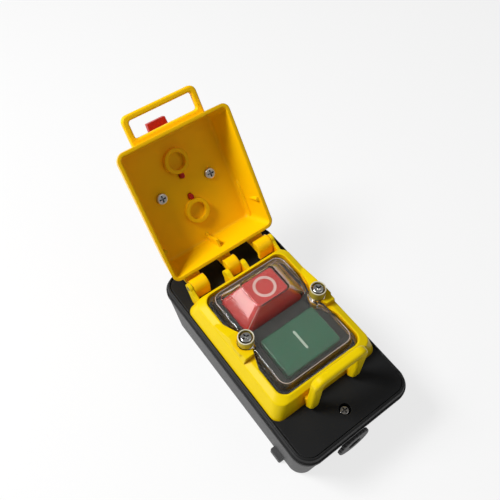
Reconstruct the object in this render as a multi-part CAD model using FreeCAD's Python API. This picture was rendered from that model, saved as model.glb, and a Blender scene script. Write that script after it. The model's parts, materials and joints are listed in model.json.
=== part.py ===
import FreeCAD, Part
import math, os

os.makedirs("parts", exist_ok=True)

# All sizes in mm. X is across the switch, Y runs from the padlock end to the hinge end, Z is up.
# Z = 0 is the underside of the box, X = Y = 0 is on the line of the two fixing screws.
LID_TOP = 52.0        # flat top of the lid
PARTING = LID_TOP - 7.6         # top edge of the box
HALF_X = 46.5         # half width of the lid
HALF_Y = 82.6         # half length of the lid
CORNER = 13.0         # corner radius of the lid seen from above
WALL = 2.8            # wall of the black box
FLOOR = 3.0
BASE_TOP_X, BASE_TOP_Y = HALF_X - 0.6, HALF_Y - 0.6
BASE_LOW_X, BASE_LOW_Y = BASE_TOP_X - 4.4, BASE_TOP_Y - 6.0
LID_SCREWS = ((-1.5, 15.1 - HALF_Y), (1.5, HALF_Y - 15.1))
FIXING_HOLES = (56.0, 120.0)      # wall fixing pattern, X by Y
ENTRY_X, ENTRY_Z = -3.0, PARTING - 17.4     # cable entry in the front wall
SCREW_X = 30.0                    # fixing screws of the switch, each side of the middle
CUTOUT_X, CUTOUT_Y = 28.0, 34.5   # half sizes of the hole in the lid
SKIN = 2.4                        # wall of the yellow mouldings
FRAME_LOW = (43.1, -49.8, 52.0)   # half width, front, rear of the guard frame at its foot
FRAME_TOP = (38.9, -46.6, 47.2)   # the same at its top
FRAME_H = 15.2
STAPLE_Y = (FRAME_LOW[1] - 6.8, FRAME_LOW[1] - 0.6)
OPENING = (33.3, -42.4, 44.4)
EDGE_H = FRAME_H - 2.0            # height of the frame's outer edge, below its rim
SHOULDER_H = FRAME_H + 4.2        # height of the blocks beside the fixing screws
CUP_TOP = FRAME_H + 11.6          # height of the boot's cups, with the screw heads in them
CUP_R = 5.4                       # cups of the boot round the fixing screws
HINGE_Y, HINGE_Z = 57.5, LID_TOP + FRAME_H - 1.2
OPEN_ANGLE = 53.7                 # tilt of the open cover above the level
PIN_R = 1.5
ARM_X = (21.8, 33.6)              # outer arms of the cover
MID_ARM = 4.7                     # half width of the middle arm
EAR_X = (33.95, 36.4)             # ears of the frame, outside the arms
ARCH = (0.6, -2.6, 5.6)           # middle and radius of the arms' back, from the hinge axis
MOUTH_N, BACK_N = -1.5, -26.8     # the cover's open rim and its outer back, from the hinge axis
COVER_MOUTH = (42.6, 7.5, 103.0)
COVER_BACK = (37.6, 12.4, 98.4)
PATTERN_S = 58.1                  # middle of the paddle, from the hinge axis
RED_Y, GREEN_Y = (6.5, 37.5), (-34.2, -4.2)
RED_X, GREEN_X = 23.6, 21.8
BUTTON_GAP = 0.4
STOP_SPRING = (12.6, 22.0)         # the two springs under the stop button
TRAVEL = 3.5


def vec(x, y, z):
    return FreeCAD.Vector(x, y, z)


def box(x0, x1, y0, y1, z0, z1):
    return Part.makeBox(x1 - x0, y1 - y0, z1 - z0, vec(x0, y0, z0))


def rod(r, x, y, z0, z1):
    return Part.makeCylinder(r, z1 - z0, vec(x, y, z0))


def rod_x(r, x0, x1, y, z):
    return Part.makeCylinder(r, x1 - x0, vec(x0, y, z), vec(1, 0, 0))


def rod_y(r, x, y0, y1, z):
    return Part.makeCylinder(r, y1 - y0, vec(x, y0, z), vec(0, 1, 0))


def outline(half_x, y0, y1, r, z):
    """Closed rectangle with round corners, level at height z."""
    k = r * math.sqrt(0.5)
    corners = (
        (half_x - r, y1 - r, 1, 1),
        (-half_x + r, y1 - r, -1, 1),
        (-half_x + r, y0 + r, -1, -1),
        (half_x - r, y0 + r, 1, -1),
    )
    edges = []
    ends = []
    for cx, cy, sx, sy in corners:
        a = vec(cx + sx * r, cy, z)
        b = vec(cx, cy + sy * r, z)
        if sx * sy < 0:
            a, b = b, a
        m = vec(cx + sx * k, cy + sy * k, z)
        edges.append(Part.Arc(a, m, b).toShape())
        ends.append((a, b))
    wire = []
    for i in range(4):
        wire.append(edges[i])
        wire.append(Part.LineSegment(ends[i][1], ends[(i + 1) % 4][0]).toShape())
    return Part.Wire(wire)


def block(half_x, y0, y1, r, z0, z1):
    """Upright block with round corners."""
    face = Part.Face(outline(half_x, y0, y1, r, z0))
    return face.extrude(vec(0, 0, z1 - z0))


def taper(low, high, r0, r1, z0, z1):
    """Drafted block between two rounded rectangles (half width, y0, y1)."""
    wires = [outline(*low, r0, z0), outline(*high, r1, z1)]
    return Part.makeLoft(wires, True, True)


def grow(rect, d):
    return (rect[0] + d, rect[1] - d, rect[2] + d)


def mix(low, high, t):
    return tuple(a + (b - a) * t for a, b in zip(low, high))


def prism_x(points, x0, x1):
    """Side profile given as (y, z) points, carried from x0 to x1."""
    pts = [vec(x0, y, z) for y, z in points]
    face = Part.Face(Part.makePolygon(pts + [pts[0]]))
    return face.extrude(vec(x1 - x0, 0, 0))


def prism_y(points, y0, y1):
    pts = [vec(x, y0, z) for x, z in points]
    face = Part.Face(Part.makePolygon(pts + [pts[0]]))
    return face.extrude(vec(0, y1 - y0, 0))


def prism_z(points, z0, z1):
    pts = [vec(x, y, z0) for x, y in points]
    face = Part.Face(Part.makePolygon(pts + [pts[0]]))
    return face.extrude(vec(0, 0, z1 - z0))


def mirror_x(shape):
    return shape.mirror(vec(0, 0, 0), vec(1, 0, 0))


def fuse(first, *more):
    out = first
    for piece in more:
        out = out.fuse(piece)
    return out.removeSplitter()


def soften(shape, radius, wanted):
    """Round the edges that wanted() picks, and keep the shape as it is if that can't be done."""
    edges = [e for e in shape.Edges if wanted(e)]
    if not edges:
        return shape
    try:
        out = shape.makeFillet(radius, edges)
        if out.isValid() and out.Volume > 0.5 * shape.Volume:
            return out
    except Part.OCCError:
        pass
    return shape


def at_height(z, tol=0.05):
    def test(edge):
        return abs(edge.BoundBox.ZMin - z) < tol and abs(edge.BoundBox.ZMax - z) < tol
    return test


def open_cover(shape):
    """Carry a piece drawn on the hinge axis to where the open cover stands."""
    out = shape.copy()
    out.rotate(vec(0, 0, 0), vec(1, 0, 0), OPEN_ANGLE)
    out.translate(vec(0, HINGE_Y, HINGE_Z))
    return out


def spring(r, wire_r, x, y, z0, z1, turns):
    """Coil spring of five-sided wire, its ends at z0 and z1."""
    steps = 14 * turns
    rings = []
    for i in range(steps + 1):
        a = 2 * math.pi * i / 14
        z = z0 + wire_r + (z1 - z0 - 2 * wire_r) * i / steps
        ring = []
        for k in range(5):
            b = 2 * math.pi * k / 5 + math.pi / 2
            out = r + wire_r * math.cos(b)
            ring.append(vec(x + out * math.cos(a), y + out * math.sin(a), z + wire_r * math.sin(b)))
        rings.append(ring)
    faces = [facet(*rings[0]), facet(*rings[-1])]
    for low, high in zip(rings, rings[1:]):
        for k in range(5):
            n = (k + 1) % 5
            faces.append(facet(low[k], low[n], high[n]))
            faces.append(facet(low[k], high[n], high[k]))
    shell = Part.makeShell(faces)
    solid = Part.makeSolid(shell)
    if solid.Volume < 0:
        solid.reverse()
    return solid


def facet(*points):
    return Part.Face(Part.makePolygon(list(points) + [points[0]]))


def pan_screw(r_head, h_head, r_shank, x, y, z_head, length, down=True):
    """Pan head with a cross recess, its seat at z_head and its shank pointing down."""
    head = rod(r_head, x, y, z_head, z_head + h_head)
    head = soften(head, h_head * 0.45, at_height(z_head + h_head))
    arm = r_head * 0.62
    thick = r_head * 0.13
    depth = h_head * 0.62
    cross = fuse(
        box(x - arm, x + arm, y - thick, y + thick, z_head + h_head - depth, z_head + h_head + 1),
        box(x - thick, x + thick, y - arm, y + arm, z_head + h_head - depth, z_head + h_head + 1),
    )
    shank = rod(r_shank, x, y, z_head - length, z_head)
    return fuse(head.cut(cross), shank)


def enclosure_base():
    low = (BASE_LOW_X, -BASE_LOW_Y, BASE_LOW_Y)
    high = (BASE_TOP_X, -BASE_TOP_Y, BASE_TOP_Y)
    shell = taper(low, high, 10.0, 12.4, 0.0, PARTING)
    floor_low = mix(low, high, FLOOR / PARTING)
    inner = taper(grow(floor_low, -WALL), grow(high, -WALL), 7.4, 9.6, FLOOR, PARTING + 0.01)
    shell = soften(shell, 2.0, at_height(0.0))
    shell = shell.cut(inner)
    for x, y in LID_SCREWS:
        end = math.copysign(HALF_Y - 3.9625, y)
        web = box(x - 3.6, x + 3.6, min(y, end), max(y, end), PARTING - 6.2, PARTING - 1.8)
        shell = shell.fuse([rod(5.0, x, y, PARTING - 6.2, PARTING - 0.6), web])
        shell = shell.cut(rod(1.55, x, y, PARTING - 10, PARTING))
    for sx in (-1, 1):
        tab_x = sx * (BASE_LOW_X + 1.5)
        tab = box(tab_x - 2.6, tab_x + 2.6, 22.0 - BASE_TOP_Y, 32.4 - BASE_TOP_Y, 0.4, 5.0)
        tab = soften(tab, 1.2, lambda e: e.Length < 5.0 and e.BoundBox.ZLength > 4)
        shell = shell.fuse(tab)
        for sy in (-1, 1):
            x, y = sx * FIXING_HOLES[0] / 2, sy * FIXING_HOLES[1] / 2
            shell = shell.fuse(rod(6.0, x, y, FLOOR - 0.5, FLOOR + 2.0))
            shell = shell.cut(rod(2.3, x, y, -1, FLOOR + 3))
            shell = shell.cut(rod(4.4, x, y, FLOOR - 0.2, FLOOR + 3))
    shell = shell.cut(rod_y(8.2, ENTRY_X, -BASE_TOP_Y - 2, -BASE_TOP_Y + 14, ENTRY_Z))
    return shell.removeSplitter()


def enclosure_lid():
    rect = (HALF_X, -HALF_Y, HALF_Y)
    skirt = block(*rect, CORNER, PARTING + 0.6, LID_TOP - 4.4)
    z = LID_TOP
    rim = taper(grow(rect, -0.7), grow(rect, -1.7), CORNER - 0.7, CORNER - 1.7, z - 4.4, z + 0.3)
    rim = soften(rim, 1.1, at_height(LID_TOP + 0.3))
    lid = fuse(skirt, rim)
    plate = grow(rect, -3.0)
    lid = lid.cut(block(*plate, CORNER - 3.0, LID_TOP, LID_TOP + 2))
    groove = block(*plate, CORNER - 3.0, LID_TOP - 0.9, LID_TOP + 1)
    groove = groove.cut(block(*grow(plate, -0.8), CORNER - 3.8, LID_TOP - 2, LID_TOP + 2))
    lid = lid.cut(groove)
    lid = lid.cut(block(*grow(rect, -4.2), CORNER - 4.2, PARTING, LID_TOP - WALL))
    lip = block(*grow(rect, -4.0), CORNER - 4.0, PARTING - 1.6, LID_TOP - WALL + 0.5)
    lip = lip.cut(block(*grow(rect, -6.0), CORNER - 6.0, PARTING - 3, LID_TOP - WALL))
    for x in (-SCREW_X, SCREW_X):
        lip = lip.cut(rod(4.6, x, 0, PARTING - 3, LID_TOP))
    lid = lid.fuse(lip)
    for x, y in LID_SCREWS:
        lid = lid.fuse(rod(5.0, x, y, PARTING, LID_TOP - 1))
        lid = lid.cut(rod(4.0, x, y, LID_TOP - 4.4, LID_TOP + 1))
        lid = lid.cut(rod(1.9, x, y, PARTING - 1, LID_TOP))
    lid = lid.cut(box(-CUTOUT_X, CUTOUT_X, -CUTOUT_Y, CUTOUT_Y, PARTING, LID_TOP + 1))
    for x in (-SCREW_X, SCREW_X):
        lid = lid.cut(rod(2.3, x, 0, PARTING, LID_TOP + 1))
    return lid.removeSplitter()


def lid_gasket():
    rect = (BASE_TOP_X, -BASE_TOP_Y, BASE_TOP_Y)
    outer = block(*grow(rect, -0.2), 12.2, PARTING + 0.02, PARTING + 0.58)
    return outer.cut(block(*grow(rect, -2.6), 9.8, PARTING - 1, PARTING + 2))


def lid_screws():
    return [pan_screw(3.4, 2.6, 1.5, x, y, LID_TOP - 4.38, 10.5) for x, y in LID_SCREWS]


def entry_gland():
    y0 = -BASE_TOP_Y + 1.4
    outside, deep = -BASE_TOP_Y - 2.0, -BASE_TOP_Y + 22.0
    flange = rod_y(12.6, ENTRY_X, outside, -BASE_TOP_Y + 0.6, ENTRY_Z)
    flange = soften(flange, 1.0, lambda e: abs(e.BoundBox.YMax - outside) < 0.05)
    for k in range(24):
        a = 2 * math.pi * k / 24
        x = ENTRY_X + 12.9 * math.cos(a)
        z = ENTRY_Z + 12.9 * math.sin(a)
        flange = flange.cut(rod_y(0.8, x, outside - 1, -BASE_TOP_Y + 2, z))
    body = fuse(flange, rod_y(7.9, ENTRY_X, outside, y0 + 11.8, ENTRY_Z))
    body = body.cut(rod_y(5.2, ENTRY_X, outside - 6, deep, ENTRY_Z))
    low = grow((BASE_LOW_X, -BASE_LOW_Y, BASE_LOW_Y), 0.02)
    high = grow((BASE_TOP_X, -BASE_TOP_Y, BASE_TOP_Y), 0.02)
    walls = taper(low, high, 10.0, 12.4, 0.0, PARTING)
    return body.cut(walls.cut(rod_y(8.2, ENTRY_X, outside - 6, deep, ENTRY_Z)))


def gland_nut():
    across = 10.0
    pts = []
    for k in range(6):
        a = math.radians(60 * k + 30)
        pts.append(vec(ENTRY_X + across * math.cos(a), 0, ENTRY_Z + across * math.sin(a)))
    face = Part.Face(Part.makePolygon(pts + [pts[0]]))
    nut = face.extrude(vec(0, 4.5, 0))
    nut.translate(vec(0, -BASE_TOP_Y + 6.6, 0))
    return nut.cut(rod_y(7.95, ENTRY_X, -BASE_TOP_Y + 2, -BASE_TOP_Y + 22, ENTRY_Z))


def guard_frame():
    top = LID_TOP + FRAME_H
    edge = LID_TOP + EDGE_H
    outer = taper(FRAME_LOW, FRAME_TOP, 6.6, 7.4, LID_TOP, edge)
    slope = taper(FRAME_TOP, grow(OPENING, 1.1), 7.4, 8.0, edge, top)
    outer = soften(outer.fuse(slope), 1.1, at_height(edge))
    hollow_top = mix(FRAME_LOW, FRAME_TOP, (EDGE_H - SKIN) / EDGE_H)
    hollow = taper(grow(FRAME_LOW, -SKIN), grow(hollow_top, -SKIN), 4.4, 5.0, LID_TOP - 0.01, edge - SKIN)
    frame = outer.cut(hollow)
    skirt = block(*grow(OPENING, 1.8), 8.4, LID_TOP + 4.0, top)
    frame = frame.fuse(skirt.common(outer))
    posts = []
    for x in (-SCREW_X, SCREW_X):
        posts.append(rod(9.4, x, 0, top - 3.0, LID_TOP + SHOULDER_H))
    sides = box(-38.2, 38.2, -14, 14, LID_TOP, top + 5)
    posts = [p.common(sides) for p in posts]
    frame = frame.fuse(posts)
    frame = frame.cut(block(*OPENING, 7.0, LID_TOP - 1, top + 6))
    shoulder = prism_z(shoulder_line(0), top - 3.0, top)
    frame = frame.fuse([shoulder, mirror_x(shoulder), shoulder_block(), mirror_x(shoulder_block())])
    for x in (-SCREW_X, SCREW_X):
        frame = frame.cut(rod(CUP_R + 0.4, x, 0, LID_TOP + 1, top + 8))
        ledge = box(min(x, x * 1.25), max(x, x * 1.25), -6, 6, top - 3.0, top - 1.0)
        frame = frame.fuse([rod(CUP_R + 0.4, x, 0, top - 3.0, top - 1.0), ledge])
        frame = frame.fuse(rod(3.7, x, 0, LID_TOP + 3.5, top - 2))
        frame = frame.cut(rod(2.3, x, 0, LID_TOP, top + 5))
    frame = frame.fuse(padlock_staple())
    frame = frame.fuse(hinge_ears())
    return frame.removeSplitter()


def shoulder_line(gap):
    """Plan of the frame's shoulder beside a fixing screw, drawn wider by gap."""
    edge = [(-34.6, 24.0), (-29.6, 12.0), (-27.4, 5.6), (-27.4, -4.6), (-29.4, -8.0), (-34.6, -22.0)]
    return [(x + gap, y + math.copysign(gap, y)) for x, y in edge]


def shoulder_block():
    """Block that rises beside a fixing screw, with a step at one end and a ramp at the other."""
    z, top = LID_TOP + FRAME_H - 3.0, LID_TOP + SHOULDER_H
    plan = [(-39.0, 24.0), (-34.4, 24.0), (-31.0, 11.5), (-28.6, 5.6), (-28.6, -5.2), (-30.6, -9.6),
            (-39.0, -9.6)]
    side = [(-9.6, z), (-9.6, top), (9.6, top), (23.9, LID_TOP + 14.4), (23.9, z)]
    face = [(-38.9, z), (-37.2, top), (-27.0, top), (-27.0, z)]
    block_ = prism_z(plan, z, top).common(prism_x(side, -40.0, -26.0)).common(prism_y(face, -20.0, 30.0))
    return soften(block_, 0.7, lambda e: e.BoundBox.ZMin > top - 0.05)


def padlock_staple():
    """Tall square loop on the front wall, for the padlock."""
    z_top = LID_TOP + 43.0
    z = LID_TOP
    y0, y1 = STAPLE_Y
    bar = box(-21.0, 21.0, y0, y1, z_top - 7.0, z_top)
    leg = box(14.0, 21.0, y0, y1, z + 1.0, z_top)
    staple = fuse(bar, leg, mirror_x(leg))
    staple = soften(staple, 7.0, lambda e: e.BoundBox.YLength > 5 and e.BoundBox.ZMin > z_top - 0.1)
    staple = soften(staple, 1.8, lambda e: e.BoundBox.YLength > 5 and abs(e.BoundBox.ZMax - z_top + 7) < 0.1)
    staple = soften(staple, 2.1, lambda e: e.BoundBox.YLength < 0.01 and e.BoundBox.ZMax > z + 8)
    wedge = [(y0 - 1, z - 1), (y0 - 1, z + 8.0), (y1 + 0.2, z + 1.2), (y1 + 0.2, z - 1)]
    staple = staple.cut(prism_x(wedge, -22.0, 22.0))
    gusset = [(y1 - 0.4, z + 1.2), (y1 - 0.4, z + 9.0), (-45.0, z + 9.0), (-47.0, z + 1.2)]
    for a, b in ((-20.0, -15.0), (15.0, 20.0)):
        staple = staple.fuse(prism_x(gusset, a, b))
    return staple


def hinge_ears():
    """Two thin ears for the hinge pins, and two round lobes beside the middle arm."""
    z = LID_TOP
    a, b = EAR_X
    foot = [(44.5, z + 1), (44.5, z + 10.5), (51.0, z + 13.0), (57.0, z + 17.2), (59.8, z + 11.6),
            (54.0, z + 1)]
    ear = fuse(prism_x(foot, a, b), rod_x(3.6, a, b, HINGE_Y, HINGE_Z))
    ear = ear.cut(rod_x(PIN_R + 0.01, a - 1, b + 1, HINGE_Y, HINGE_Z))
    a, b = MID_ARM + 0.4, MID_ARM + 4.0
    stalk = [(44.5, z + 1), (44.5, z + 11.5), (50.4, z + 14.5), (54.8, z + 8.0), (53.0, z + 1)]
    lobe = fuse(prism_x(stalk, a, b), rod_x(4.2, a, b, 52.4, z + 10.9))
    return [ear, mirror_x(ear), lobe, mirror_x(lobe)]


def hinge_pins():
    pin = rod_x(PIN_R, ARM_X[1] - 5.0, EAR_X[1] + 0.2, HINGE_Y, HINGE_Z)
    return [pin, mirror_x(pin)]


def cover_outer():
    low = taper(COVER_BACK, COVER_MOUTH, 7.0, 5.6, BACK_N, MOUTH_N)
    return soften(low, 4.0, at_height(BACK_N))


def cover_room():
    """The space inside the cover."""
    t = SKIN / (MOUTH_N - BACK_N)
    inner_back = grow(mix(COVER_BACK, COVER_MOUTH, t), -SKIN)
    inner = taper(inner_back, grow(COVER_MOUTH, -SKIN), 4.8, 3.2, BACK_N + SKIN, MOUTH_N + 0.01)
    return soften(inner, 2.6, at_height(BACK_N + SKIN))


def safety_cover():
    body = cover_outer().cut(cover_room())
    panel = BACK_N + SKIN
    for s in (PATTERN_S - 19.4, PATTERN_S + 19.4):
        ring = rod(9.0, 0, s, panel - 0.3, -20.4).cut(rod(6.2, 0, s, panel, -10))
        body = body.fuse(ring)
    for x in (-20.0, 20.0):
        body = body.cut(rod(2.2, x, PATTERN_S, BACK_N - 1, panel + 1))
    for s in (PATTERN_S - 8.3, PATTERN_S + 8.3):
        body = body.cut(block(1.9, s - 2.4, s + 2.4, 1.8, BACK_N - 1, panel + 1))
    rib = box(-1.0, 1.0, 9.0, 19.5, panel - 0.3, -8.0).common(cover_outer())
    body = body.fuse(rib.cut(box(-3, 3, 17.5, 25, -22, 0)))
    bead = rod(1.6, 39.0, 30.0, panel - 0.3, MOUTH_N - 2.5).common(cover_outer())
    body = body.fuse([bead, mirror_x(bead)])
    body = body.fuse(cover_loop())
    body = body.fuse(cover_arms())
    bore = rod_x(PIN_R + 0.05, ARM_X[1] - 5.5, ARM_X[1] + 1, 0, 0)
    body = body.cut(bore).cut(mirror_x(bore))
    return body.removeSplitter()


def cover_loop():
    """Flat loop on the free end of the cover, that drops over the staple."""
    rim = COVER_MOUTH[2]
    plate = block(27.6, rim - 6.0, rim + 18.4, 4.6, -11.8, -7.4)
    window = block(23.4, rim + 2.4, rim + 14.4, 2.0, -13, -6)
    plate = plate.cut(window)
    plate = soften(plate, 1.2, lambda e: e.Length > 6 and e.BoundBox.ZLength < 0.1)
    return plate.cut(cover_room())


def cover_arms():
    """Three arched arms that carry the cover, drawn as they lie with the cover open."""
    arch = []
    for k in range(17):
        a = math.radians(-8 + 12.25 * k)
        arch.append((ARCH[0] + ARCH[2] * math.cos(a), ARCH[1] + ARCH[2] * math.sin(a)))
    toe = [(-5.6, -9.0), (-3.0, -9.0), (-1.8, -4.6), (7.0, -4.6), (13.0, -6.4), (18.8, 1.2),
           (12.6, 3.8), (8.6, -2.6)]
    arms = []

    def on_arch(edge):
        size = edge.BoundBox
        return size.XLength < 0.01 and size.ZMax > -3 and size.YMax < 7

    for x0, x1 in ((-ARM_X[1], -ARM_X[0]), (-MID_ARM, MID_ARM), ARM_X):
        arm = soften(prism_x(arch + toe, x0, x1), 0.7, on_arch)
        arm.rotate(vec(0, 0, 0), vec(1, 0, 0), -OPEN_ANGLE)
        arms.append(arm.cut(cover_room()))
    return arms


def stop_paddle():
    z0, z1 = BACK_N - 5.2, BACK_N - 0.02
    s0 = PATTERN_S
    tip = HINGE_Y - STAPLE_Y[1] - 0.4
    half = [(13, s0 - 30), (24, s0 - 19), (24, s0 + 17), (15, s0 + 28), (7.6, s0 + 36), (7.0, tip)]
    pts = half + [(-x, s) for x, s in reversed(half)]
    plate = prism_z(pts, z0, z1)
    plate = soften(plate, 3.0, lambda e: e.BoundBox.ZLength > 4 and e.BoundBox.YMax < s0 + 30)
    plate = soften(plate, 0.6, lambda e: e.BoundBox.ZLength > 4 and e.BoundBox.YMax > tip - 1)
    plate = soften(plate, 1.2, at_height(z0))
    for x in (-20.0, 20.0):
        plate = plate.cut(rod(1.75, x, s0, z0 + 1.4, z1 + 1))
    for s in (s0 - 8.3, s0 + 8.3):
        peg = block(1.6, s - 2.1, s + 2.1, 1.5, z1 - 1, BACK_N + SKIN + 3.2)
        peg = soften(peg, 0.8, at_height(BACK_N + SKIN + 3.2))
        plate = plate.fuse(peg)
    return plate.removeSplitter()


def paddle_screws():
    seat = BACK_N + SKIN
    return [pan_screw(4.0, 2.4, 1.7, x, PATTERN_S, seat + 0.02, 5.6) for x in (-20.0, 20.0)]


BOOT_Z = LID_TOP + FRAME_H - 3.2
BOOT_RIM = (32.2, -41.4, 43.4)
BOOT_FOOT = (30.6, -40.4, 42.2)
BOOT_FLAT = BOOT_Z + 6.9
DOME_LOW = (26.4, 3.9, 39.4)
DOME_TOP = (13.3, 8.9, 31.0)
DOME_Z = BOOT_Z + 21.2
BOOT_SKIN = 0.9


def boot_form(d):
    """Solid under the boot's skin, drawn in by d on every side."""
    foot = grow(BOOT_FOOT, -d)
    flat = grow(BOOT_FOOT, -d - 1.6)
    body = taper(foot, flat, 7.0 - d / 2, 6.4 - d / 2, BOOT_Z - 0.01, BOOT_FLAT - d)
    low = grow(DOME_LOW, -d)
    top = grow(DOME_TOP, -d)
    dome = taper(low, top, 5.0 - d / 2, 3.2 - d / 2, BOOT_FLAT - d - 2.0, DOME_Z - d)
    if d == 0:
        body = soften(body, 1.4, at_height(BOOT_FLAT))
        dome = soften(dome, 1.6, at_height(DOME_Z))
    return body.fuse(dome)


def notched(shape, gap):
    """Draw the boot in beside the screws, where the frame's shoulders reach over it."""
    notch = prism_z(shoulder_line(gap), BOOT_Z - 1, BOOT_FLAT + 20)
    return shape.cut(notch).cut(mirror_x(notch))


def protective_boot():
    rim = block(*BOOT_RIM, 6.4, BOOT_Z, BOOT_Z + 0.9)
    outer = boot_form(0).fuse(rim)
    outer = notched(outer, 0.4)
    cups = [rod(CUP_R, x, 0, BOOT_Z + 2.3, LID_TOP + CUP_TOP) for x in (-SCREW_X, SCREW_X)]
    for x in (-SCREW_X, SCREW_X):
        outer = outer.cut(rod(CUP_R + 0.8, x, 0, BOOT_Z - 1, BOOT_Z + 2.3))
        outer = outer.cut(rod(CUP_R, x, 0, BOOT_Z, LID_TOP + 26))
    outer = outer.fuse(cups)
    inner = notched(boot_form(BOOT_SKIN), 0.4 + BOOT_SKIN)
    for x in (-SCREW_X, SCREW_X):
        inner = inner.cut(rod(CUP_R, x, 0, BOOT_Z - 2, LID_TOP + 40))
    boot = outer.cut(inner)
    for x in (-SCREW_X, SCREW_X):
        boot = boot.cut(rod(CUP_R - 1.1, x, 0, LID_TOP + CUP_TOP - 2.9, LID_TOP + 30))
        boot = boot.cut(rod(2.25, x, 0, BOOT_Z - 2, LID_TOP + 30))
    return boot.removeSplitter()


def fixing_screws():
    head = CUP_R - 1.4
    return [pan_screw(head, 3.0, 2.0, x, 0, LID_TOP + CUP_TOP - 2.88, 39.0) for x in (-SCREW_X, SCREW_X)]


def fixing_nuts():
    nuts = []
    for x in (-SCREW_X, SCREW_X):
        pts = []
        for k in range(6):
            a = math.radians(60 * k + 30)
            pts.append((x + 4.0 * math.cos(a), 4.0 * math.sin(a)))
        nut = prism_z(pts, LID_TOP - WALL - 3.3, LID_TOP - WALL - 0.05)
        nuts.append(nut.cut(rod(2.0, x, 0, 0, 60)))
    return nuts


def button_surround():
    top = BOOT_Z - 0.1
    plate = block(29.0, -37.2, 38.9, 4.0, LID_TOP + 4.0, top)
    for x in (-SCREW_X, SCREW_X):
        plate = plate.cut(rod(7.6, x, 0, LID_TOP, LID_TOP + 20))
    low, high = LID_TOP, LID_TOP + 20
    red = block(*grow((RED_X, *RED_Y), BUTTON_GAP), 3.4, low, high)
    green = block(*grow((GREEN_X, *GREEN_Y), BUTTON_GAP), 2.4, low, high)
    return plate.cut(red).cut(green)


BUTTON_Z = BOOT_Z - 12.0          # level from which both buttons' heights are drawn


def stop_button():
    z = BUTTON_Z
    skirt = block(RED_X, RED_Y[0], RED_Y[1], 3.0, z + 7.6, z + 13.6)
    cap = taper((RED_X, RED_Y[0], RED_Y[1]), (11.9, 10.2, 29.6), 3.0, 1.6, z + 13.6, z + 32.0)
    cap = soften(cap, 0.8, at_height(z + 32.0))
    body = fuse(skirt, cap)
    inner = taper((RED_X - 2, RED_Y[0] + 2, RED_Y[1] - 2), (9.9, 12.0, 27.6), 1.6, 0.8, z + 7.5, z + 29.8)
    body = body.cut(inner)
    stem = rod(3.0, 0, 20.0, LID_TOP - 2.0, z + 31.0)
    body = body.fuse(stem)
    x, y = STOP_SPRING
    for side in (-x, x):
        seat = rod(4.2, side, y, z + 17.0, z + 32.0).common(cap)
        guide = rod(2.2, side, y, z + 12.0, z + 18.0)
        body = body.fuse([seat, guide])
    return body.removeSplitter()


def start_button():
    z = BUTTON_Z
    cap = block(GREEN_X, GREEN_Y[0], GREEN_Y[1], 2.0, z + 7.6, z + 17.6)
    cap = soften(cap, 0.9, at_height(z + 17.6))
    cap = cap.cut(block(GREEN_X - 2, GREEN_Y[0] + 2, GREEN_Y[1] - 2, 1.0, z + 7, z + 15.4))
    stem = rod(3.0, 0, -19.2, LID_TOP + 0.2, z + 16.0)
    guides = [rod(2.0, x, -19.2, z + 5.0, z + 16.0) for x in (-14.0, 14.0)]
    return cap.fuse([stem] + guides).removeSplitter()


HOUSING_LOW = LID_TOP - 36.0


def switch_housing():
    z = LID_TOP
    body = block(26.2, -33.0, 33.0, 3.0, HOUSING_LOW, z + 3.9)
    flange = box(-36.4, 36.4, -9.0, 9.0, z + 0.2, z + 3.4)
    flange = soften(flange, 3.0, lambda e: e.BoundBox.ZLength > 2)
    body = body.fuse(flange)
    body = body.cut(block(24.0, -30.5, 30.5, 2.0, HOUSING_LOW + 2.5, z + 5))
    for x in (-SCREW_X, SCREW_X):
        body = body.cut(rod(2.3, x, 0, z - 1, z + 5))
    wall = box(-24.5, 24.5, -1.2, 1.2, HOUSING_LOW + 2, z - 12)
    shelf = box(8.4, 24.5, 17.4, 26.6, z - 3.0, z - 0.5)
    body = body.fuse([wall, shelf, mirror_x(shelf)])
    for x, y in TERMINALS:
        body = body.cut(box(x - 3.35, x + 3.35, y - 0.6, y + 0.6, HOUSING_LOW - 1, HOUSING_LOW + 4))
    return body.removeSplitter()


TERMINALS = ((-14.0, -27.0), (-14.0, -8.0), (14.0, -27.0), (14.0, -8.0), (-17.0, 27.0), (17.0, 27.0))


def terminal_blades():
    blades = []
    for x, y in TERMINALS:
        top = LID_TOP - 13.0 if y < 0 else LID_TOP - 20.0
        blade = box(x - 3.15, x + 3.15, y - 0.4, y + 0.4, HOUSING_LOW - 9.0, top)
        low = HOUSING_LOW - 9.2
        for side in (-1, 1):
            corner = [(x + side * 3.3, low), (x + side * 1.6, low), (x + side * 3.3, low + 2.2)]
            blade = blade.cut(prism_y(corner, y - 2, y + 2))
        blade = blade.cut(rod_y(0.8, x, y - 2, y + 2, HOUSING_LOW - 5.5))
        if y < 0:
            lean = 4.6 if y < -15 else -4.6
            shelf = box(x - 3.15, x + 3.15, min(y - 0.4, y + lean), max(y + 0.4, y + lean), top - 0.8, top)
            blade = fuse(blade, shelf)
        blades.append(blade)
    return blades


CONTACT_PLACES = ((-14.0, -24.0), (-14.0, -11.0), (14.0, -24.0), (14.0, -11.0))


def fixed_contacts():
    top = LID_TOP - 13.0
    return [rod(1.9, x, y, top + 0.01, top + 1.2) for x, y in CONTACT_PLACES]


def contact_bridges():
    z = LID_TOP - 13.0 + 1.2 + TRAVEL
    bars = []
    for x in (-14.0, 14.0):
        bar = box(x - 2.6, x + 2.6, -26.0, -9.0, z + 1.2, z + 2.0)
        tips = [rod(1.9, x, y, z + 0.05, z + 1.3) for y in (-24.0, -11.0)]
        bars.append(fuse(bar, *tips))
    return bars


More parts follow.
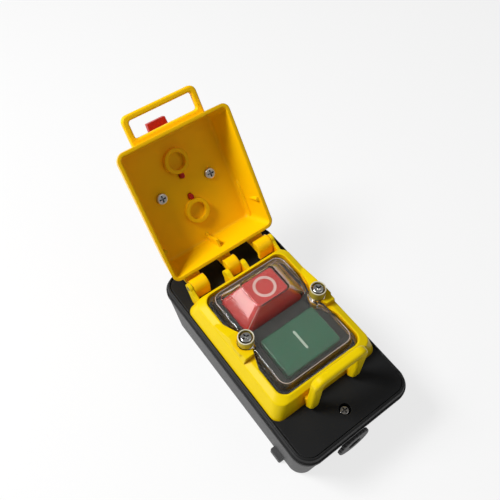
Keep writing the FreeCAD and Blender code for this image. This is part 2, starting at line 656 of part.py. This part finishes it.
def contact_carrier():
    z = LID_TOP - 13.0 + 1.2 + TRAVEL + 2.0
    deck = box(-18.0, 18.0, -28.0, -5.0, z + 0.02, z + 3.0)
    deck = soften(deck, 1.5, lambda e: e.BoundBox.ZLength > 2)
    post = rod(4.0, 0, -19.2, z + 2.0, LID_TOP + 0.18)
    arm = box(-5.0, 5.0, -6.0, 7.0, z + 0.6, z + 3.0)
    spigot = rod(1.6, 0, -19.2, z - 4.0, z + 1.0)
    return fuse(deck, post, arm, spigot)


def magnet_armature():
    z = LID_TOP - 13.0 + 1.2 + TRAVEL + 2.0
    plate = box(-11.0, 11.0, 3.0, 30.0, z - 2.0, z + 0.58)
    return soften(plate, 0.8, lambda e: e.BoundBox.ZLength > 2)


def magnet_core():
    top = LID_TOP - 13.0 + 1.2 + 2.0 - 2.0 - 0.3
    bottom = HOUSING_LOW + 2.6
    yoke = box(-10.0, 10.0, 3.0, 29.8, bottom, bottom + 3.0)
    legs = [box(-10.0, 10.0, 3.0, 5.6, bottom, top), box(-10.0, 10.0, 27.2, 29.8, bottom, top)]
    post = rod(3.6, 0, 16.4, bottom + 2, top)
    return fuse(yoke, post, *legs)


def coil_bobbin():
    z0, z1 = HOUSING_LOW + 5.8, LID_TOP - 14.0
    tube = rod(4.6, 0, 16.4, z0, z1)
    cheeks = [rod(10.2, 0, 16.4, z0, z0 + 1.2), rod(10.2, 0, 16.4, z1 - 1.2, z1)]
    return fuse(tube, *cheeks).cut(rod(3.7, 0, 16.4, z0 - 1, z1 + 1))


def coil_winding():
    z0, z1 = HOUSING_LOW + 7.1, LID_TOP - 15.3
    coil = rod(9.2, 0, 16.4, z0, z1).cut(rod(4.7, 0, 16.4, z0 - 1, z1 + 1))
    return soften(coil, 0.8, lambda e: e.Length > 50)


def start_spring():
    z = LID_TOP - 13.0 + 1.2 + TRAVEL + 2.0
    return spring(3.2, 0.35, 0, -19.2, HOUSING_LOW + 2.6, z - 0.02, 7)


def stop_springs():
    low, high = LID_TOP - 0.48, BUTTON_Z + 16.98
    x, y = STOP_SPRING
    return [spring(3.2, 0.35, side, y, low, high, 5) for side in (-x, x)]


def export(name, shape):
    if isinstance(shape, (list, tuple)):
        shape = Part.makeCompound(list(shape))
    if shape.isNull() or not shape.Solids:
        raise RuntimeError(name + " has no solid")
    if not shape.isValid():
        print("not valid:", name)
    shape.exportStep("parts/" + name + ".step")
    bb = shape.BoundBox
    print("%-18s solids %d  X %.1f..%.1f  Y %.1f..%.1f  Z %.1f..%.1f" % (
        name, len(shape.Solids), bb.XMin, bb.XMax, bb.YMin, bb.YMax, bb.ZMin, bb.ZMax))


PIECES = {
    "enclosure_base": enclosure_base,
    "enclosure_lid": enclosure_lid,
    "lid_gasket": lid_gasket,
    "lid_screws": lid_screws,
    "entry_gland": entry_gland,
    "gland_nut": gland_nut,
    "guard_frame": guard_frame,
    "hinge_pins": hinge_pins,
    "protective_boot": protective_boot,
    "fixing_screws": fixing_screws,
    "fixing_nuts": fixing_nuts,
    "button_surround": button_surround,
    "stop_button": stop_button,
    "start_button": start_button,
    "switch_housing": switch_housing,
    "terminal_blades": terminal_blades,
    "fixed_contacts": fixed_contacts,
    "contact_bridges": contact_bridges,
    "contact_carrier": contact_carrier,
    "magnet_armature": magnet_armature,
    "magnet_core": magnet_core,
    "coil_bobbin": coil_bobbin,
    "coil_winding": coil_winding,
    "start_spring": start_spring,
    "stop_springs": stop_springs,
}

COVER_PIECES = {
    "safety_cover": safety_cover,
    "stop_paddle": stop_paddle,
    "paddle_screws": paddle_screws,
}

for name, make in PIECES.items():
    export(name, make())
for name, make in COVER_PIECES.items():
    shape = make()
    if isinstance(shape, (list, tuple)):
        shape = Part.makeCompound(list(shape))
    export(name, open_cover(shape))
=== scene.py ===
import json
import math
import bpy
from mathutils import Matrix, Vector


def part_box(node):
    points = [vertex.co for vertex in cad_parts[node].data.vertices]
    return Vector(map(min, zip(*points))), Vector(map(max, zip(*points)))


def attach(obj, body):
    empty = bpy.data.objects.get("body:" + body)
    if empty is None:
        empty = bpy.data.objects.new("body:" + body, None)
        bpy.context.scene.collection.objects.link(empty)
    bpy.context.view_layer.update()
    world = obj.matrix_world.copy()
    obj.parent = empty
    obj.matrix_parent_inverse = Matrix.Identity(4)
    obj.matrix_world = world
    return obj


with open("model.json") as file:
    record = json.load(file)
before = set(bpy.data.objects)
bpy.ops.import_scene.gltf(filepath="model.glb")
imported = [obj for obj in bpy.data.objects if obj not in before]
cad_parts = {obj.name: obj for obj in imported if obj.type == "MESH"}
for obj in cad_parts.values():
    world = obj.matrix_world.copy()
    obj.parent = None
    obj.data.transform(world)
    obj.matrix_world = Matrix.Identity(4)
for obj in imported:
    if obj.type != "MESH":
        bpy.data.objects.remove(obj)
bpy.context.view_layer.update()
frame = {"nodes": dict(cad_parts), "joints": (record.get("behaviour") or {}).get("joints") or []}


# View: the camera stands above the padlock end, a little to the left, and looks down on
# the switch with its cover open.
camera_place = Vector((-0.1303, -0.1324, 0.4235))
look_right = Vector((0.8009, -0.5988, 0.0107))
look_down = Vector((-0.4917, -0.6677, -0.5589))
look_ahead = Vector((0.3418, 0.4424, -0.8291))
camera_data = bpy.data.cameras.new("photo_view")
camera_data.lens = 43.2
camera_data.sensor_width = 36.0
camera_data.sensor_fit = "HORIZONTAL"
camera_data.clip_start = 0.01
camera = bpy.data.objects.new("photo_view", camera_data)
bpy.context.collection.objects.link(camera)
camera.matrix_world = Matrix((
    (look_right.x, -look_down.x, -look_ahead.x, camera_place.x),
    (look_right.y, -look_down.y, -look_ahead.y, camera_place.y),
    (look_right.z, -look_down.z, -look_ahead.z, camera_place.z),
    (0, 0, 0, 1),
))
bpy.context.scene.camera = camera
bpy.context.scene.view_settings.view_transform = "Standard"


# Light: a window up on the left, a low strip of window light on the same side, a weak lamp
# on the right, and a dim room all round that the camera sees as white.
def softbox(name, place, aim, size, watts):
    """Rectangular lamp that points at a spot. Size is its width and height."""
    data = bpy.data.lights.new(name, "AREA")
    data.shape = "RECTANGLE"
    data.size = size[0]
    data.size_y = size[1]
    data.energy = watts
    lamp = bpy.data.objects.new(name, data)
    bpy.context.collection.objects.link(lamp)
    lamp.location = place
    lamp.rotation_euler = (Vector(aim) - Vector(place)).to_track_quat("-Z", "Y").to_euler()


frame_middle = (0, 0.02, 0.06)
lid_middle = (0, 0, 0.06)
softbox("window_light", place=(-0.58, 0.40, 0.98), aim=frame_middle, size=(0.36, 0.36), watts=14.8)
softbox("low_window", place=(-0.92, 0.40, 0.26), aim=frame_middle, size=(0.10, 0.20), watts=0.46)
softbox("room_light", place=(0.45, -0.60, 0.95), aim=lid_middle, size=(0.6, 0.6), watts=1.0)


def combined(tree, operation, first, second):
    """Two values worked into one. The second is a socket or a plain number."""
    worked = tree.nodes.new("ShaderNodeMath")
    worked.operation = operation
    tree.links.new(first, worked.inputs[0])
    if isinstance(second, float):
        worked.inputs[1].default_value = second
    else:
        tree.links.new(second, worked.inputs[1])
    return worked.outputs[0]


def seen_directly(tree, mirrored):
    """1 for rays from the camera or through clear plastic, and mirrored for reflections."""
    rays = tree.nodes.new("ShaderNodeLightPath").outputs
    clear = combined(tree, "MAXIMUM", rays["Is Camera Ray"], rays["Is Transmission Ray"])
    dimmed = combined(tree, "MULTIPLY", rays["Is Glossy Ray"], mirrored)
    return combined(tree, "MAXIMUM", clear, dimmed)


def laid_over(tree, share, under, over):
    """One shader over another, by a share from 0 to 1."""
    layers = tree.nodes.new("ShaderNodeMixShader")
    for socket, source in enumerate((share, under, over)):
        tree.links.new(source, layers.inputs[socket])
    return layers.outputs[0]


sky_strength = 0.15
room_mirrored = 0.10
room = bpy.data.worlds.new("white_room")
room.use_nodes = True
room_tree = room.node_tree
sky = room_tree.nodes["Background"]
sky.inputs["Color"].default_value = (1, 1, 1, 1)
sky.inputs["Strength"].default_value = sky_strength
white_wall = room_tree.nodes.new("ShaderNodeBackground")
white_wall.inputs["Color"].default_value = (1, 1, 1, 1)
room_mix = laid_over(room_tree, seen_directly(room_tree, room_mirrored), sky.outputs[0],
                     white_wall.outputs[0])
room_tree.links.new(room_mix, room_tree.nodes["World Output"].inputs["Surface"])
bpy.context.scene.world = room


# Table: a matt white top under the box. It keeps the shadow, and the camera sees the rest
# of it nearly white.
def new_paint(name):
    """A new material, its node tree and its surface shader."""
    mat = bpy.data.materials.new(name)
    mat.use_nodes = True
    return mat, mat.node_tree, mat.node_tree.nodes["Principled BSDF"]


table_half = 4.0
table_gap = 0.0002
table_mirrored = 0.60
table_whiteness = 0.76
table_mesh = bpy.data.meshes.new("table_top")
table_mesh.from_pydata(
    [(-table_half, -table_half, 0), (table_half, -table_half, 0),
     (table_half, table_half, 0), (-table_half, table_half, 0)], [], [(0, 1, 2, 3)])
table_top = bpy.data.objects.new("table_top", table_mesh)
table_top.location.z = -table_gap
bpy.context.collection.objects.link(table_top)
table_paint, table_tree, matt_white = new_paint("white_table")
matt_white.inputs["Base Color"].default_value = (0.80, 0.80, 0.80, 1)
matt_white.inputs["Roughness"].default_value = 0.7
glow = table_tree.nodes.new("ShaderNodeEmission")
glow.inputs["Color"].default_value = (1, 1, 1, 1)
glow_share = combined(table_tree, "MULTIPLY", seen_directly(table_tree, table_mirrored), table_whiteness)
table_mix = laid_over(table_tree, glow_share, matt_white.outputs[0], glow.outputs[0])
table_tree.links.new(table_mix, table_tree.nodes["Material Output"].inputs["Surface"])
table_mesh.materials.append(table_paint)


# Black box: moulded in black plastic. Its sides have a coarse spark-eroded grain that looks
# grey in the light, and its edges are rubbed a little smoother and paler.
def uneven(tree, scale, detail):
    """Uneven pattern fixed to the piece, from 0 to 1, with so many patches to a metre."""
    place = tree.nodes.new("ShaderNodeTexCoord")
    pattern = tree.nodes.new("ShaderNodeTexNoise")
    pattern.inputs["Scale"].default_value = scale
    pattern.inputs["Detail"].default_value = detail
    tree.links.new(place.outputs["Object"], pattern.inputs["Vector"])
    return pattern.outputs["Fac"]


def blended(tree, share, first, second):
    """Colour between two others by a share from 0 to 1. Each is a colour or a socket."""
    mix = tree.nodes.new("ShaderNodeMix")
    mix.data_type = "RGBA"
    tree.links.new(share, mix.inputs["Factor"])
    for side, colour in (("A", first), ("B", second)):
        if isinstance(colour, tuple):
            mix.inputs[side].default_value = (*colour, 1)
        else:
            tree.links.new(colour, mix.inputs[side])
    return mix.outputs["Result"]


def graded(tree, source, start=0.0, end=1.0, low=0.0, high=1.0, ramp="LINEAR"):
    """Value that goes from low to high while the source goes from start to end."""
    scale = tree.nodes.new("ShaderNodeMapRange")
    scale.interpolation_type = ramp
    for socket, value in (("From Min", start), ("From Max", end), ("To Min", low), ("To Max", high)):
        scale.inputs[socket].default_value = value
    tree.links.new(source, scale.inputs["Value"])
    return scale.outputs["Result"]


def roughened(tree, height, strength, depth, under=None):
    """Surface direction with a fine relief, depth in metres, over another direction."""
    relief = tree.nodes.new("ShaderNodeBump")
    relief.inputs["Strength"].default_value = strength
    relief.inputs["Distance"].default_value = depth
    tree.links.new(height, relief.inputs["Height"])
    if under is not None:
        tree.links.new(under, relief.inputs["Normal"])
    return relief.outputs["Normal"]


def shade(colour, factor, lift=0.0):
    """A colour made lighter or darker, no part of it above white."""
    return tuple(min(1.0, c * factor + lift) for c in colour)


def moulded(name, colour, rough, grain_mm, grain_depth, blotch=0.06, speck=0.0, gloss=0.5,
            edge_mm=0.6, rubbed=0.10):
    """Moulded plastic: fine grain, slow changes of colour, rounded and slightly rubbed edges."""
    mat, tree, shader = new_paint(name)
    grain = uneven(tree, 1000.0 / grain_mm, 3.0)
    cloud = uneven(tree, 45.0, 4.0)
    tint = blended(tree, cloud, shade(colour, 1 - blotch), shade(colour, 1 + blotch, speck))
    rounded = tree.nodes.new("ShaderNodeBevel")
    rounded.samples = 4
    rounded.inputs["Radius"].default_value = edge_mm / 1000
    flat = tree.nodes.new("ShaderNodeNewGeometry")
    turn = tree.nodes.new("ShaderNodeVectorMath")
    turn.operation = "DOT_PRODUCT"
    tree.links.new(rounded.outputs["Normal"], turn.inputs[0])
    tree.links.new(flat.outputs["Normal"], turn.inputs[1])
    edge = graded(tree, turn.outputs["Value"], start=0.99, end=0.80)
    rub = combined(tree, "MULTIPLY", edge, cloud)
    worn = blended(tree, rub, tint, shade(colour, 1 + rubbed, 0.1 * rubbed))
    dull = graded(tree, cloud, low=rough - 0.06, high=rough + 0.06)
    relief = roughened(tree, grain, grain_depth, 0.25 * grain_mm / 1000, rounded.outputs["Normal"])
    shader.inputs["Specular IOR Level"].default_value = gloss
    tree.links.new(worn, shader.inputs["Base Color"])
    tree.links.new(dull, shader.inputs["Roughness"])
    tree.links.new(relief, shader.inputs["Normal"])
    return mat


def dress(node, material):
    """Give a piece of the frame its finish."""
    mesh = frame["nodes"][node].data
    mesh.materials.clear()
    mesh.materials.append(material)


dress("enclosure_base", moulded("box_black", (0.036, 0.036, 0.037), 0.50, 0.55, 1.0, speck=0.014,
                                gloss=0.45, rubbed=0.6))


# Cable entry: a ribbed ring in black nylon sits in the front wall, held by a six-sided lock
# nut inside.
gland_black = moulded("gland_black", (0.045, 0.045, 0.047), 0.5, 0.6, 0.5, rubbed=0.4)
dress("entry_gland", gland_black)
dress("gland_nut", gland_black)


# Lid and gasket: the lid is moulded in the same black, with a smooth satin top and a raised
# rounded rim. A flat rubber gasket lies between it and the box.
dress("enclosure_lid", moulded("lid_black", (0.0095, 0.0098, 0.0102), 0.44, 0.7, 0.25, gloss=0.18,
                               blotch=0.12, rubbed=0.5))
dress("lid_gasket", moulded("gasket_rubber", (0.03, 0.03, 0.03), 0.8, 0.4, 0.3, gloss=0.3))


# Lid screws: two pan-head steel screws with a cross recess, deep in holes of the lid. They are plated
# black, and their cross recess is darkened with painted shade.
def plated(name, colour, rough, recess_darkness=0.25):
    """Plated or drawn metal: uneven shine, and painted shade that darkens corners and recesses."""
    mat, tree, shader = new_paint(name)
    cloud = uneven(tree, 560.0, 5.0)
    tint = blended(tree, cloud, shade(colour, 0.8), colour)
    # Painted shade: the colour darkens where the surface is enclosed within 1.6 mm, in corners and
    # recesses.
    corner = tree.nodes.new("ShaderNodeAmbientOcclusion")
    corner.samples = 6
    corner.inputs["Distance"].default_value = 0.0016
    open_face = graded(tree, corner.outputs["AO"], start=0.35, end=0.85)
    shaded_tint = blended(tree, open_face, shade(colour, recess_darkness), tint)
    dull = graded(tree, cloud, low=rough - 0.08, high=rough + 0.12)
    shader.inputs["Metallic"].default_value = 1.0
    tree.links.new(shaded_tint, shader.inputs["Base Color"])
    tree.links.new(dull, shader.inputs["Roughness"])
    tree.links.new(roughened(tree, cloud, 0.15, 0.0001), shader.inputs["Normal"])
    return mat


dress("lid_screws", plated("black_zinc", (0.42, 0.40, 0.38), 0.16, recess_darkness=0.1))


# Switch housing: black plastic body in the lid's cut-out, with brass blades through its
# floor for the mains wires.
dress("switch_housing", moulded("housing_black", (0.04, 0.04, 0.04), 0.5, 0.6, 0.3))
dress("terminal_blades", plated("blade_brass", (0.75, 0.55, 0.22), 0.3, recess_darkness=0.6))


# Contacts and carrier: silver contacts on brass bars. A cream plastic carrier holds the
# moving pair.
contact_silver = plated("contact_silver", (0.8, 0.79, 0.75), 0.25, recess_darkness=0.5)
dress("fixed_contacts", contact_silver)
dress("contact_bridges", contact_silver)
cream_plastic = moulded("carrier_cream", (0.60, 0.57, 0.48), 0.5, 0.6, 0.2)
dress("contact_carrier", cream_plastic)


# Holding magnet: iron core and armature, and a coil of enamelled copper wire on a cream
# bobbin.
magnet_iron = plated("magnet_iron", (0.35, 0.35, 0.36), 0.4, recess_darkness=0.5)
dress("magnet_core", magnet_iron)
dress("magnet_armature", magnet_iron)
dress("coil_bobbin", cream_plastic)
dress("coil_winding", plated("enamelled_copper", (0.5, 0.2, 0.09), 0.3, recess_darkness=0.5))


# Springs: coiled steel wire. One pushes the carrier up, and two push the stop button up.
turned_steel = plated("turned_steel", (0.5, 0.5, 0.5), 0.3)
dress("start_spring", turned_steel)
dress("stop_springs", turned_steel)


# Stop button: glossy red moulded cap with four sloping sides. A pale ring, the sign for
# off, is pad-printed on its top.
dress("stop_button", moulded("button_red", (0.43, 0.014, 0.012), 0.24, 0.9, 0.025, edge_mm=0.7))


def printed(name, colour):
    """Pad-printed mark, a little worn and with the plastic showing through."""
    mat, tree, shader = new_paint(name)
    worn = blended(tree, uneven(tree, 900.0, 6.0), shade(colour, 0.78), colour)
    shader.inputs["Roughness"].default_value = 0.45
    tree.links.new(worn, shader.inputs["Base Color"])
    return mat


def new_piece(name, points, faces, material):
    """A new piece with one finish, from its points and faces."""
    mesh = bpy.data.meshes.new(name)
    mesh.from_pydata(points, [], faces)
    mesh.materials.append(material)
    piece = bpy.data.objects.new(name, mesh)
    bpy.context.collection.objects.link(piece)
    return piece


def lathe(name, profile, centre, material, steps=96):
    """Ring turned about an upright axis, from (radius, height) points."""
    points = []
    for i in range(steps):
        a = 2 * math.pi * i / steps
        points += [(centre[0] + r * math.cos(a), centre[1] + r * math.sin(a), centre[2] + h)
                   for r, h in profile]
    count = len(profile)
    faces = []
    for i in range(steps):
        j = (i + 1) % steps
        for k in range(count):
            n = (k + 1) % count
            faces.append((i * count + k, j * count + k, j * count + n, i * count + n))
    return new_piece(name, points, faces, material)


red_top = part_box("stop_button")[1].z
ring_inner, ring_outer = 0.0060, 0.0079
ring_middle_y = 0.0199
ring_root = -0.0002
ring_side, ring_face, ring_soft = 0.00006, 0.00010, 0.0001
ring_profile = [
    (ring_inner, ring_root), (ring_inner, ring_side), (ring_inner + ring_soft, ring_face),
    (ring_outer - ring_soft, ring_face), (ring_outer, ring_side), (ring_outer, ring_root)]
off_ring = lathe("off_mark_ring", ring_profile, (0.0, ring_middle_y, red_top),
                 printed("mark_white", (0.66, 0.46, 0.44)))
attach(off_ring, "stop_button")


# Start button: flat green moulded cap with a short pale bar, the sign for on, printed in
# its middle.
dress("start_button", moulded("button_green", (0.0055, 0.088, 0.044), 0.24, 0.9, 0.02, gloss=0.40,
                              edge_mm=1.1, rubbed=0.5))

green_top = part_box("start_button")[1].z
bar_end_radius = 0.00085
bar_half_length = 0.0074
bar_middle_y = -0.0190
bar_root, bar_face = -0.0003, 0.00012
bar_points = 24
bar_outline = []
for k in range(bar_points):
    a = 2 * math.pi * k / bar_points
    end = bar_half_length - bar_end_radius
    if math.sin(a) < 0:
        end = -end
    bar_outline.append((bar_end_radius * math.cos(a), bar_middle_y + end + bar_end_radius * math.sin(a)))
bar_low = [(x, y, green_top + bar_root) for x, y in bar_outline]
bar_high = [(x, y, green_top + bar_face) for x, y in bar_outline]
bar_faces = [tuple(range(bar_points, 2 * bar_points)), tuple(reversed(range(bar_points)))]
for k in range(bar_points):
    n = (k + 1) % bar_points
    bar_faces.append((k, n, bar_points + n, bar_points + k))
on_bar = new_piece("on_mark_bar", bar_low + bar_high, bar_faces,
                   printed("mark_pale_green", (0.42, 0.52, 0.46)))
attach(on_bar, "start_button")


# Button surround: dark moulded plate with two windows that the buttons stand in. It lies
# under the foot of the boot.
dress("button_surround", moulded("surround_black", (0.012, 0.015, 0.014), 0.5, 0.8, 0.03, gloss=0.22))


# Clear boot: soft clear plastic pressed to shape over both buttons. The skin is slightly uneven. Thin
# beads lie along its folded edges and the corners of its dome, coloured pale as painted highlights.
clear_boot, boot_tree, skin = new_paint("clear_boot")
ripple = uneven(boot_tree, 60.0, 3.0)
haze = graded(boot_tree, ripple, low=0.02, high=0.07)
wave = roughened(boot_tree, ripple, 0.035, 0.0006)
skin.inputs["Base Color"].default_value = (0.97, 0.94, 0.90, 1)
skin.inputs["IOR"].default_value = 1.38
skin.inputs["Transmission Weight"].default_value = 0.99
boot_tree.links.new(haze, skin.inputs["Roughness"])
boot_tree.links.new(wave, skin.inputs["Normal"])
dress("protective_boot", clear_boot)


def swept(name, path, radius, material, sides=8):
    """Round bead along an open path of points, drawn in at both ends."""
    points = [Vector(p) for p in path]
    last = len(points) - 1
    rings = []
    for i, p in enumerate(points):
        along = (points[min(i + 1, last)] - points[max(i - 1, 0)]).normalized()
        side = along.cross(Vector((0, 0, 1)))
        side = side.normalized() if side.length > 0.01 else Vector((1, 0, 0))
        up = side.cross(along)
        r = radius if 0 < i < last else radius * 0.35
        for k in range(sides):
            a = 2 * math.pi * k / sides
            rings.append(p + side * r * math.cos(a) + up * r * math.sin(a))
    faces = [tuple(reversed(range(sides))), tuple(range(last * sides, (last + 1) * sides))]
    for i in range(last):
        j = i + 1
        for k in range(sides):
            n = (k + 1) % sides
            faces.append((i * sides + k, i * sides + n, j * sides + n, j * sides + k))
    bead = new_piece(name, rings, faces, material)
    bead.data.polygons.foreach_set("use_smooth", [True] * len(faces))
    return bead


def corner_arc(centre, radius, start, steps=6):
    """Quarter turn seen from above, from the angle start."""
    turn = [math.radians(start + 90.0 * k / steps) for k in range(steps + 1)]
    return [(centre[0] + radius * math.cos(a), centre[1] + radius * math.sin(a)) for a in turn]


boot_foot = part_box("protective_boot")[0].z
flat_z = boot_foot + 0.00685
flat_x = 0.0286
flat_corner = 0.0062
flat_line, arris_line = 0.00020, 0.00016


def flat_edge(notch, bend, end, turned):
    """Upper edge of the boot's low part, from the notch on one side to the other notch."""
    corner_x = flat_x - flat_corner
    line = [(-flat_x, notch), (-flat_x, bend)]
    line += corner_arc((-corner_x, end + flat_corner), flat_corner, 180)
    line += corner_arc((corner_x, end + flat_corner), flat_corner, 270)
    line += [(flat_x, bend), (flat_x, notch)]
    return [(turned * x, turned * y, flat_z) for x, y in line]


def four_corners(half_x, front, rear, z):
    """Corners of a level rectangle, from the front left round by the front right."""
    return [Vector((x, y, z)) for x, y in (
        (-half_x, front), (half_x, front), (half_x, rear), (-half_x, rear))]


# Painted highlights: opaque pale beads along the boot's folds and dome corners, where the clear edges
# catch the light.
boot_edge_highlight = moulded("boot_edge_highlight", (0.62, 0.50, 0.44), 0.25, 0.8, 0.1, edge_mm=0.1)
folds = [
    ("boot_edge_front", flat_edge(-0.0215, -0.0285, -0.0384, 1), flat_line),
    ("boot_edge_rear", flat_edge(-0.0235, -0.0300, -0.0402, -1), flat_line)]
dome_foot = four_corners(0.0252, 0.0052, 0.0381, flat_z + 0.0002)
dome_crown = four_corners(0.0126, 0.0096, 0.0303, boot_foot + 0.0207)
arris_steps = 6
for corner, low, top in zip(("front_left", "front_right", "rear_right", "rear_left"),
                            dome_foot, dome_crown):
    arris = [low.lerp(top, t / arris_steps) for t in range(arris_steps + 1)]
    folds.append(("boot_arris_" + corner, arris, arris_line))
for name, path, thick in folds:
    line = swept(name, path, thick, boot_edge_highlight)
    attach(line, "box")


# Guard frame: satin yellow moulding round the buttons, with the padlock staple and the hinge ears. Tight
# corners and hollows are painted a deeper orange, painted shade that stands in for light bounced between
# the yellow walls.
frame_yellow = moulded("frame_yellow", (0.77, 0.56, 0.001), 0.36, 0.9, 0.12, blotch=0.035, gloss=0.10,
                       edge_mm=0.9, rubbed=0.08)
yellow_tree = frame_yellow.node_tree
yellow_base = yellow_tree.nodes["Principled BSDF"].inputs["Base Color"]
# Painted shade: where the surface is enclosed within 8 mm, the colour turns towards deep orange.
hollow_shade = yellow_tree.nodes.new("ShaderNodeAmbientOcclusion")
hollow_shade.samples = 6
hollow_shade.inputs["Distance"].default_value = 0.008
open_yellow = graded(yellow_tree, hollow_shade.outputs["AO"], start=0.35, end=0.95, ramp="SMOOTHSTEP")
yellow_tree.links.new(blended(yellow_tree, open_yellow, (0.80, 0.40, 0.0),
                              yellow_base.links[0].from_socket), yellow_base)
dress("guard_frame", frame_yellow)


# Fixing screws: two long zinc-plated steel screws clamp frame, boot and switch to the lid, with nuts
# below. Each head sits in a cup of the boot. The cup wall is coloured olive, a painted reflection of the
# yellow frame in the clear plastic, and its cut rim is coloured pale, a painted highlight.
dress("fixing_screws", plated("bright_zinc", (0.74, 0.73, 0.70), 0.17, recess_darkness=0.03))
dress("fixing_nuts", turned_steel)
# Painted reflection: the clear cup wall is coloured olive for the yellow frame it reflects. Painted
# highlight: its cut rim is coloured pale.
cup_olive_reflection = moulded("cup_olive_reflection", (0.46, 0.36, 0.030), 0.30, 0.8, 0.15)
cup_rim_highlight = moulded("cup_rim_highlight", (0.66, 0.62, 0.46), 0.28, 0.8, 0.15)
head_radius = 0.0040
head_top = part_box("fixing_screws")[1]
cup_wall_foot, cup_rim_foot = head_top.z - 0.0070, head_top.z - 0.0003
cup_wall_profile = [
    (0.00543, 0.0), (0.00548, 0.0002), (0.00548, 0.0064), (0.00530, 0.0069), (0.00518, 0.0069),
    (0.00518, 0.0002)]
cup_rim_profile = [
    (0.00470, 0.0), (0.00470, 0.0003), (0.00485, 0.00055), (0.00525, 0.00055), (0.00545, 0.0003),
    (0.00545, 0.0)]
for side, turn in (("left", -1), ("right", 1)):
    screw_x = turn * (head_top.x - head_radius)
    cup_wall = lathe("cup_wall_" + side, cup_wall_profile, (screw_x, 0.0, cup_wall_foot), cup_olive_reflection)
    cup_rim = lathe("cup_rim_" + side, cup_rim_profile, (screw_x, 0.0, cup_rim_foot), cup_rim_highlight)
    for ring in (cup_wall, cup_rim):
        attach(ring, "box")


# Safety cover: box-shaped yellow moulding hung on two steel pins. A round bead runs along
# the inside of each side wall, from the hinge end to near the middle.
dress("hinge_pins", turned_steel)
cover_yellow = moulded("cover_yellow", (0.97, 0.55, 0.001), 0.38, 0.9, 0.10, blotch=0.035, gloss=0.12,
                       edge_mm=1.2, rubbed=0.05)
dress("safety_cover", cover_yellow)

cover_hinge = next(joint for joint in frame["joints"] if joint["name"] == "cover_hinge")
hinge_axis = Vector(cover_hinge["pos_m"])
open_tilt = Matrix.Rotation(math.radians(53.7), 3, "X")
bead_x, bead_depth, bead_radius = 0.0364, -0.0205, 0.0014
bead_start, bead_length = 0.0130, 0.032
bead_steps = 8
for side, turn in (("left", -1), ("right", 1)):
    run = []
    for k in range(bead_steps + 1):
        on_wall = Vector((turn * bead_x, bead_start + bead_length * k / bead_steps, bead_depth))
        run.append(hinge_axis + open_tilt @ on_wall)
    wall_bead = swept("side_bead_" + side, run, bead_radius, cover_yellow, sides=16)
    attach(wall_bead, "cover")


# Stop plate: red moulded plate on the outside of the cover. Two zinc-plated screws hold it
# from inside, and its two pegs reach through the cover to the stop button.
dress("stop_paddle", moulded("plate_red", (0.45, 0.012, 0.006), 0.35, 0.9, 0.15, gloss=0.3, rubbed=0.2))
dress("paddle_screws", plated("dull_zinc", (0.74, 0.72, 0.69), 0.30, recess_darkness=0.05))
